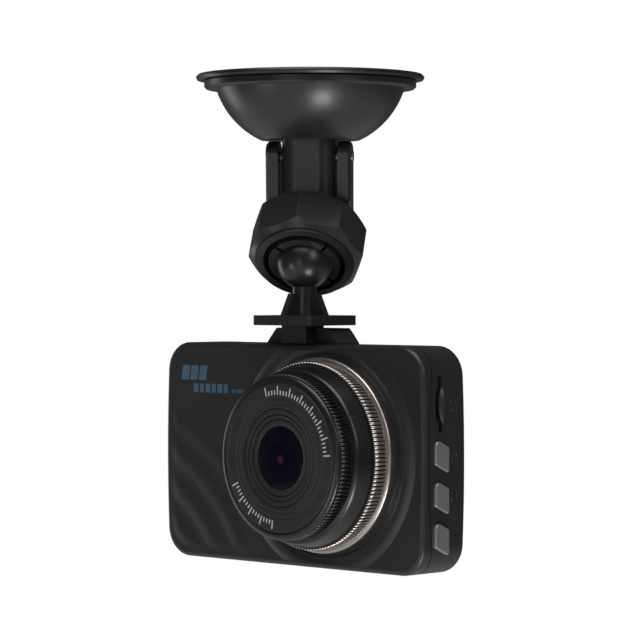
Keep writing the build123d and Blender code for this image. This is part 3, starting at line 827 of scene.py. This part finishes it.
def lathe(name: str, outline: Sequence[Point2], centre: Point2, segments: int = 180) -> bpy.types.Object:
    """Turn a closed outline about an axis along Y.

    Args:
        name: name of the piece.
        outline: points (radius, y) in mm.
        centre: the axis as (x, z) in mm.
        segments: number of steps round the axis.

    Returns:
        The turned piece, closed and facing outwards.
    """
    shape = bmesh.new()
    rows = []
    for step in range(segments):
        angle = math.tau * step / segments
        rows.append([shape.verts.new(Vector((centre[0] + radius * math.sin(angle), y,
                                             centre[1] + radius * math.cos(angle))) * MM)
                     for radius, y in outline])
    for step, row in enumerate(rows):
        following = rows[(step + 1) % segments]
        for number in range(len(outline)):
            nearby = (number + 1) % len(outline)
            shape.faces.new((row[number], row[nearby], following[nearby], following[number]))
    bmesh.ops.remove_doubles(shape, verts=shape.verts, dist=1e-7)
    bmesh.ops.dissolve_degenerate(shape, edges=shape.edges, dist=1e-8)
    bmesh.ops.recalc_face_normals(shape, faces=shape.faces)
    for face in shape.faces:
        face.smooth = True
    mesh = bpy.data.meshes.new(name)
    shape.to_mesh(mesh)
    shape.free()
    mesh.set_sharp_from_angle(angle=math.radians(40))
    return add_piece(name, mesh)


def prism(name: str, outlines: Sequence[Sequence[Point2]], front: float, back: float) -> bpy.types.Object:
    """Flat closed plates facing -Y.

    Args:
        name: name of the piece.
        outlines: the plates' outlines as (x, z) in mm.
        front: depth of their faces, in mm.
        back: depth of their backs, in mm.

    Returns:
        The plates as one piece.
    """
    shape = bmesh.new()
    for outline in outlines:
        near = [shape.verts.new(Vector((x, front, z)) * MM) for x, z in outline]
        far = [shape.verts.new(Vector((x, back, z)) * MM) for x, z in outline]
        shape.faces.new(near)
        shape.faces.new(far[::-1])
        for number in range(len(outline)):
            nearby = (number + 1) % len(outline)
            shape.faces.new((near[number], far[number], far[nearby], near[nearby]))
    bmesh.ops.recalc_face_normals(shape, faces=shape.faces)
    mesh = bpy.data.meshes.new(name)
    shape.to_mesh(mesh)
    shape.free()
    return add_piece(name, mesh)


def raised_lines(name: str, paths: Iterable[tuple[Sequence[Point3], bool]],
                 radius: float) -> bpy.types.Object:
    """Round moulded lines along paths.

    Args:
        name: name of the piece.
        paths: the points of each path in mm, and whether it closes on itself.
        radius: half of the line's width, in mm.

    Returns:
        The lines as one mesh.
    """
    curve = bpy.data.curves.new(name + "_lines", "CURVE")
    curve.dimensions = "3D"
    curve.bevel_depth = radius * MM
    curve.bevel_resolution = 2
    curve.use_fill_caps = True
    for points, is_closed in paths:
        spline = curve.splines.new("POLY")
        spline.points.add(len(points) - 1)
        for number, point in enumerate(points):
            spline.points[number].co = (*(Vector(point) * MM), 1.0)
        spline.use_cyclic_u = is_closed
    drawn = bpy.data.objects.new(name + "_lines", curve)
    bpy.context.scene.collection.objects.link(drawn)
    depsgraph = bpy.context.evaluated_depsgraph_get()
    mesh = bpy.data.meshes.new_from_object(drawn.evaluated_get(depsgraph), depsgraph=depsgraph)
    bpy.data.objects.remove(drawn)
    bpy.data.curves.remove(curve)
    mesh.name = name
    for face in mesh.polygons:
        face.use_smooth = True
    return add_piece(name, mesh)


# ---------------------------------------------------------------- sub-assemblies
@dataclass
class SuctionMount:
    """Suction cup, lever, nut, ball and stud; sizes in mm."""

    yaw: float = 34.0
    grip_count: int = 4
    grip_step: float = 1.3
    grip_radius: float = 0.45
    grip_length: float = 15.0
    grip_top: float = -34.5
    grip_depth: float = 11.75

    def build(self) -> None:
        """Add the grip bars on the back of the lever's paddle."""
        yaw = math.radians(self.yaw)
        start = (-self.grip_depth * math.sin(yaw) * MM, self.grip_depth * math.cos(yaw) * MM,
                 self.grip_top * MM)
        grips = bar_row().stamp("lever_grips", Finish.MOUNT.material, count=self.grip_count,
                                step=self.grip_step * MM, radius=self.grip_radius * MM,
                                length=self.grip_length * MM, yaw=yaw, start=start)
        settle(grips, "lever", "mount_plastic", Finish.MOUNT)

    def dress(self) -> None:
        """Give the mount's CAD nodes their finishes."""
        dress(Finish.PAD, "suction_pad")
        dress(Finish.MOUNT, "suction_base", "lever", "socket_nut", "ball_stud")
        dress(Finish.BALL, "ball")
        dress(Finish.WHITE_PLASTIC, "plunger", "friction_pad")
        dress(Finish.STEEL, "lever_pin")


@dataclass
class LensBarrel:
    """Knurled barrel, bright trim ring, stepped lens face and front glass; sizes in mm."""

    centre: Point2 = LENS_CENTRE
    barrel_count: int = 124
    barrel_valley: float = 18.5
    barrel_crest: float = 18.9
    barrel_teeth: Point2 = (-25.25, -21.75)
    trim_count: int = 144
    trim_valley: float = 21.08
    trim_crest: float = 21.5
    trim_teeth: Point2 = (-17.05, -13.45)
    tooth_share: float = 0.78
    face_front: float = -26.3
    glass_radius: float = 7.15
    scale_inner: float = 14.3
    scale_length: float = 2.0
    scale_arcs: tuple[tuple[float, float], ...] = ((-15.0, 84.0), (187.0, 246.0))
    scale_step: float = 3.6
    scale_width: float = 0.34
    scale_relief: float = 0.06
    grooves: tuple[float, ...] = (12.3, 13.7)

    def build(self) -> None:
        """Make every visible part of the lens."""
        self._barrel()
        self._trim()
        self._face()
        self._glass()
        self._scale()

    def _teeth(self, name: str, finish: Finish, count: int, valley: float, crest: float,
               span: Point2) -> bpy.types.Object:
        """One ring of knurl teeth with narrow gaps between them."""
        width = self.tooth_share * math.tau * crest / count
        return ridge_ring().stamp(
            name, finish.material, count=count, radius=valley * MM, width=width * MM,
            height=(crest - valley) * MM, front=span[0] * MM, back=span[1] * MM,
            centre=(self.centre[0] * MM, 0.0, self.centre[1] * MM))

    def _barrel(self) -> None:
        """Black barrel: rounded shoulder, knurled band, flared skirt."""
        valley = self.barrel_valley
        shoulder = [(17.15 + 1.6 * math.sin(turn), -25.35 - 0.95 * math.cos(turn))
                    for turn in (math.radians(11.25 * step) for step in range(9))]
        skirt = [(valley, -25.2), (valley, -21.75), (18.9, -21.6), (19.7, -21.4), (20.0, -20.9),
                 (20.85, -17.5), (20.80, -17.25), (20.25, -17.25)]
        hidden = [(20.25, -10.7), (18.9, -10.7), (18.9, -8.6), (16.4, -8.6), (16.4, -24.9), (17.15, -24.9)]
        shell = lathe("barrel_shell", eased(shoulder + skirt + hidden, 0.12, 3), self.centre)
        settle(shell, "camera", "case_plastic", Finish.BARREL, "barrel_ring")
        teeth = self._teeth("barrel_knurl", Finish.BARREL, self.barrel_count, valley,
                            self.barrel_crest, self.barrel_teeth)
        settle(teeth, "camera", "case_plastic", Finish.BARREL)

    def _trim(self) -> None:
        """Bright ring: knurled band and a rounded flange."""
        valley = self.trim_valley
        outline = [(20.3, -17.1), (20.9, -17.1), (valley, -16.95), (valley, -13.5),
                   (21.9, -13.4), (22.3, -13.3), (22.5, -13.0), (22.5, -12.1), (22.35, -11.7),
                   (22.1, -11.5), (22.1, -10.7), (20.3, -10.7)]
        shell = lathe("trim_shell", eased(outline, 0.15, 3), self.centre)
        settle(shell, "camera", "bright_trim", Finish.TRIM, "lens_trim_ring")
        teeth = self._teeth("trim_knurl", Finish.TRIM, self.trim_count, valley,
                            self.trim_crest, self.trim_teeth)
        settle(teeth, "camera", "bright_trim", Finish.TRIM)

    def _face(self) -> None:
        """Matt ring with shallow steps and two fine grooves."""
        front = self.face_front
        steps = [(7.25, -25.55), (8.6, -25.68), (8.66, -25.4), (8.86, -25.4), (8.92, -25.86),
                 (9.72, -25.9), (9.78, -25.66), (9.92, -25.66), (9.98, -26.06), (11.1, -26.1),
                 (11.16, -25.9), (11.3, -25.9), (11.36, front)]
        lines = []
        for radius in self.grooves:
            lines += [(radius - 0.1, front), (radius, front + 0.09), (radius + 0.1, front)]
        rim = [(16.85, front), (17.1, front + 0.2), (17.1, -24.9), (7.25, -24.9)]
        ring = lathe("lens_front", eased(steps + lines + rim, 0.03, 2), self.centre)
        settle(ring, "camera", "case_plastic", Finish.LENS_FACE, "lens_face")

    def _glass(self) -> None:
        """Domed front element."""
        fall, back, steps = 0.8, -22.4, 24
        dome = [(self.glass_radius * step / steps, self.face_front + fall * (step / steps) ** 2)
                for step in range(steps + 1)]
        glass = lathe("lens_glass", dome + [(self.glass_radius, back), (0.0, back)], self.centre)
        settle(glass, "camera", "lens_glass", Finish.GLASS, "front_glass")

    def _scale(self) -> None:
        """Two arcs of printed ticks on the lens face."""
        for number, (first, last) in enumerate(self.scale_arcs, 1):
            count = round((last - first) / self.scale_step) + 1
            ticks = tick_arc().stamp(
                f"scale_ticks_{number}", Finish.WHITE_INK.material, count=count,
                radius=self.scale_inner * MM, first=math.radians(first),
                step=math.radians(self.scale_step), length=self.scale_length * MM,
                width=self.scale_width * MM, relief=self.scale_relief * MM, long_every=4,
                centre=(self.centre[0] * MM, self.face_front * MM, self.centre[1] * MM))
            settle(ticks, "camera", "white_plastic", Finish.WHITE_INK)

    def dress(self) -> None:
        """Give the lens's inner CAD nodes their finishes."""
        dress(Finish.BARREL, "lens_core", "lens_holder")
        dress(Finish.GLASS, "middle_element", "rear_element", "ir_filter")
        dress(Finish.CHIP, "image_sensor")


@dataclass
class CameraCase:
    """Case marks and relief; sizes in mm."""

    lens: Point2 = LENS_CENTRE
    left: float = -42.1
    face: float = -11.2
    case_corner: float = 7.0
    ripple_width: float = 46.0
    ripple_height: float = 40.0
    ripple_step: float = 0.36
    ripple_swell: float = 0.15
    ripple_spacing: float = 7.5
    ripple_first: float = 29.4
    ripple_thickness: float = 1.1
    ripple_back: float = 1.12
    ripple_rings: Point2 = (-14.0, -16.0)
    lens_clear: float = 28.3
    icon_line: float = 0.13
    icon_y: float = -1.2
    side_bow: float = 0.8
    bottom: float = field(init=False)
    top: float = field(init=False)
    middle_x: float = field(init=False)
    middle_z: float = field(init=False)

    def __post_init__(self) -> None:
        """Read the case's box."""
        low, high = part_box("front_cover")
        self.bottom = low.z / MM
        self.top = high.z / MM
        self.middle_x = (low.x + high.x) / 2 / MM
        self.middle_z = (self.bottom + self.top) / 2

    def build(self) -> None:
        """Make the ripples, the badge and the moulded icons."""
        self._ripples()
        self._badge()
        self._icons()

    def _ripples(self) -> None:
        """Shallow waves over the lower left of the front."""
        corner = (self.middle_x + self.left, self.bottom)
        middle = (corner[0] + self.ripple_width / 2, self.face + self.ripple_back,
                  corner[1] + self.ripple_height / 2)
        rings = (corner[0] + self.ripple_rings[0], 0.0, corner[1] + self.ripple_rings[1])
        panel = ripple_panel().stamp(
            "rippled_face", Finish.CASE.material, width=self.ripple_width * MM,
            height=self.ripple_height * MM, columns=round(self.ripple_width / self.ripple_step),
            rows=round(self.ripple_height / self.ripple_step), middle=tuple(Vector(middle) * MM),
            corner=(corner[0] * MM, 0.0, corner[1] * MM), rings=tuple(Vector(rings) * MM),
            lens=(self.lens[0] * MM, 0.0, self.lens[1] * MM), swell=self.ripple_swell * MM,
            lens_clear=self.lens_clear * MM, case_corner=self.case_corner * MM,
            spacing=self.ripple_spacing * MM, first=self.ripple_first * MM,
            thickness=self.ripple_thickness * MM)
        settle(panel, "camera", "case_plastic", Finish.CASE)

    def _badge(self) -> None:
        """Printed bar in three slanted parts, with a line of dashes under it."""
        left, low, high = self.middle_x - 36.6, self.top - 9.0, self.top - 5.5
        slant, gap, width = 0.6, 0.45, 9.2
        relief = 0.1
        part = (width - slant - 2 * gap) / 3
        outlines = []
        for number in range(3):
            start = left + number * (part + gap)
            outlines.append(eased([(start, low), (start + part, low), (start + part + slant, high),
                                   (start + slant, high)], 0.35))
        bar = prism("badge_bar", outlines, self.face - relief / 2, self.face + relief)
        settle(bar, "camera", "white_plastic", Finish.BLUE_INK)
        row = self.top - 10.9
        long_row = dash_row().stamp("badge_dashes", Finish.BLUE_INK.material, count=6, pitch=2.05 * MM,
                                    height=2.1 * MM, relief=relief * MM, least=0.62, most=0.86, seed=4,
                                    start=((left + 4.1) * MM, self.face * MM, row * MM))
        settle(long_row, "camera", "white_plastic", Finish.BLUE_INK)
        short_row = dash_row().stamp("badge_small_dashes", Finish.BLUE_INK.material, count=5,
                                     pitch=0.95 * MM, height=0.9 * MM, relief=relief * MM, least=0.5,
                                     most=0.8, seed=9,
                                     start=((left + 17.3) * MM, self.face * MM, (row - 0.5) * MM))
        settle(short_row, "camera", "white_plastic", Finish.BLUE_INK)

    def _side(self, z: float) -> float:
        """X of the bowed +X side at height z."""
        share = (z - self.middle_z) / ((self.top - self.bottom) / 2)
        return self.middle_x - self.left - self.side_bow * share ** 2

    def _on_side(self, points: Iterable[Point2], z: float) -> list[Point3]:
        """Flat icon points, as (along Y, along Z), laid on the +X side about height z."""
        return [(self._side(z + up), self.icon_y + along, z + up) for along, up in points]

    def _icons(self) -> None:
        """Small moulded signs behind the card slot and the buttons."""
        def arc(radius: float, first: float, last: float, steps: int = 14) -> list[Point2]:
            """Points of an arc, in degrees clockwise from up."""
            angles = [math.radians(first + (last - first) * step / steps) for step in range(steps + 1)]
            return [(radius * math.sin(angle), radius * math.cos(angle)) for angle in angles]

        card = [(-0.9, 1.2), (0.4, 1.2), (0.9, 0.7), (0.9, -1.2), (-0.9, -1.2)]
        frame_sign = [(-0.8, 1.0), (0.8, 1.0), (0.8, -1.0), (-0.8, -1.0)]
        card_z, power_z, menu_z = -76.5, -88.2, -97.2
        paths = [
            (self._on_side(card, card_z), True),
            (self._on_side([(-0.4, 0.7), (-0.4, 0.1)], card_z), False),
            (self._on_side([(0.1, 0.7), (0.1, 0.1)], card_z), False),
            (self._on_side(arc(0.95, 35, 325), power_z), False),
            (self._on_side([(0.0, 1.2), (0.0, 0.1)], power_z), False),
            (self._on_side(frame_sign, menu_z), True),
            (self._on_side([(-0.45, 0.3), (0.45, 0.3)], menu_z), False),
            (self._on_side([(-0.45, -0.3), (0.45, -0.3)], menu_z), False),
        ]
        icons = raised_lines("side_icons", paths, self.icon_line)
        settle(icons, "camera", "case_plastic", Finish.CASE)

    def dress(self) -> None:
        """Give the case's CAD nodes their finishes."""
        dress(Finish.CASE, "front_cover", "rear_case")
        dress(Finish.DISPLAY, "lcd_window")
        sides = [f"button_{side}_{number}" for side in ("right", "left") for number in (1, 2, 3)]
        dress(Finish.SILVER, *sides)
        dress(Finish.STEEL, "case_screws")


@dataclass
class Electronics:
    """Everything inside the case."""

    boards: tuple[str, ...] = ("main_pcb", "side_board_right", "side_board_left")
    metal: tuple[str, ...] = ("usb_socket", "card_socket")
    resin: tuple[str, ...] = ("pcb_chips", "switches_right", "switches_left", "av_socket", "speaker")

    def dress(self) -> None:
        """Give the inner CAD nodes their finishes."""
        dress(Finish.BOARD, *self.boards)
        dress(Finish.STEEL, *self.metal, "microphone")
        dress(Finish.CHIP, *self.resin, "lcd_panel")
        dress(Finish.FOIL, "battery")
        dress(Finish.FOAM, "battery_foam")


# ---------------------------------------------------------------- studio
@dataclass(frozen=True)
class Softbox:
    """A rectangular light that faces the object; place in camera directions, sizes in metres."""

    name: str
    azimuth: float
    elevation: float
    away: float
    size: Point2
    power: float

    def build(self, target: Vector) -> None:
        """Hang the light, turned to the target."""
        light = bpy.data.lights.new(self.name, "AREA")
        light.shape = "RECTANGLE"
        light.size, light.size_y = self.size
        light.energy = self.power
        lamp = bpy.data.objects.new(self.name, light)
        direction = direction_of(self.azimuth, self.elevation)
        lamp.location = target + direction * self.away
        lamp.rotation_euler = direction.to_track_quat("Z", "Y").to_euler()
        lamp.visible_camera = False
        bpy.context.scene.collection.objects.link(lamp)
        log.info("light %s", self.name)


def direction_of(azimuth: float, elevation: float) -> Vector:
    """Unit vector towards an azimuth (0 is -Y, 90 is +X) and elevation, in degrees."""
    turn, rise = math.radians(azimuth), math.radians(elevation)
    return Vector((math.sin(turn) * math.cos(rise), -math.cos(turn) * math.cos(rise), math.sin(rise)))


@dataclass
class Studio:
    """Pale floor, soft lights, white surroundings and the camera."""

    azimuth: float = 44.0
    elevation: float = 0.78
    target: Point3 = (0.001654, 0.001598, -0.0578)
    distance: float = 0.68
    lens: float = 162.0
    floor_height: float = -0.50
    floor_radius: float = 1.2
    ambient: float = 0.08
    lights: tuple[Softbox, ...] = (
        Softbox("overhead", 25.0, 72.0, 1.4, (1.3, 1.3), 18.0),
        Softbox("right_bank", 82.0, 26.0, 0.9, (0.3, 0.4), 1.3),
        Softbox("left_bank", -80.0, -8.0, 1.0, (0.3, 0.6), 1.2),
        Softbox("low_left", -12.0, -18.0, 0.8, (0.18, 0.22), 0.5),
        Softbox("front_fill", 22.0, -5.0, 1.0, (0.25, 0.5), 0.6),
        Softbox("below_right", 64.0, -46.0, 0.5, (0.14, 0.14), 1.0),
    )

    def build(self) -> None:
        """Set up the whole studio."""
        self._floor()
        self._surroundings()
        for light in self.lights:
            light.build(Vector(self.target))
        self._camera()
        bpy.context.scene.view_settings.view_transform = "Standard"

    def _floor(self) -> None:
        """Round pale card under the object, well below it."""
        shape = bmesh.new()
        bmesh.ops.create_circle(shape, cap_ends=True, segments=96, radius=self.floor_radius)
        bmesh.ops.translate(shape, verts=shape.verts, vec=(0.0, 0.0, self.floor_height))
        mesh = bpy.data.meshes.new("floor")
        shape.to_mesh(mesh)
        shape.free()
        floor = add_piece("floor", mesh)
        paint(floor, Finish.CARD)

    def _surroundings(self) -> None:
        """White behind the object, and only dim grey light from all round it."""
        world = bpy.data.worlds.new("surroundings")
        bpy.context.scene.world = world
        world.use_nodes = True
        graph = Graph(world.node_tree)
        white = graph.add("ShaderNodeBackground", {}, {"Color": (1.0, 1.0, 1.0), "Strength": 1.0})
        dim = graph.add("ShaderNodeBackground", {}, {"Color": (1.0, 1.0, 1.0), "Strength": self.ambient})
        is_seen = graph.add("ShaderNodeLightPath")["Is Camera Ray"]
        mixed = graph.add("ShaderNodeMixShader", {}, {0: is_seen, 1: dim[0], 2: white[0]})
        graph.add("ShaderNodeOutputWorld", {}, {"Surface": mixed[0]})

    def _camera(self) -> None:
        """Long lens at the object's height."""
        camera = bpy.data.cameras.new("camera")
        camera.lens = self.lens
        camera.sensor_width = 36.0
        camera.clip_start = 0.01
        holder = bpy.data.objects.new("camera", camera)
        direction = direction_of(self.azimuth, self.elevation)
        holder.location = Vector(self.target) + direction * self.distance
        holder.rotation_euler = direction.to_track_quat("Z", "Y").to_euler()
        bpy.context.scene.collection.objects.link(holder)
        bpy.context.scene.camera = holder


def write_sizes() -> None:
    """Log one line; no sizes are written."""
    log.info("sizes written")


def main() -> None:
    """Build the studio and dress the camera, one sub-assembly after another."""
    logging.basicConfig(level=logging.INFO, format="%(name)s: %(message)s")
    Studio().build()
    for assembly in (SuctionMount(), LensBarrel(), CameraCase()):
        assembly.build()
        assembly.dress()
    Electronics().dress()
    write_sizes()


if __name__ == "__main__":
    main()
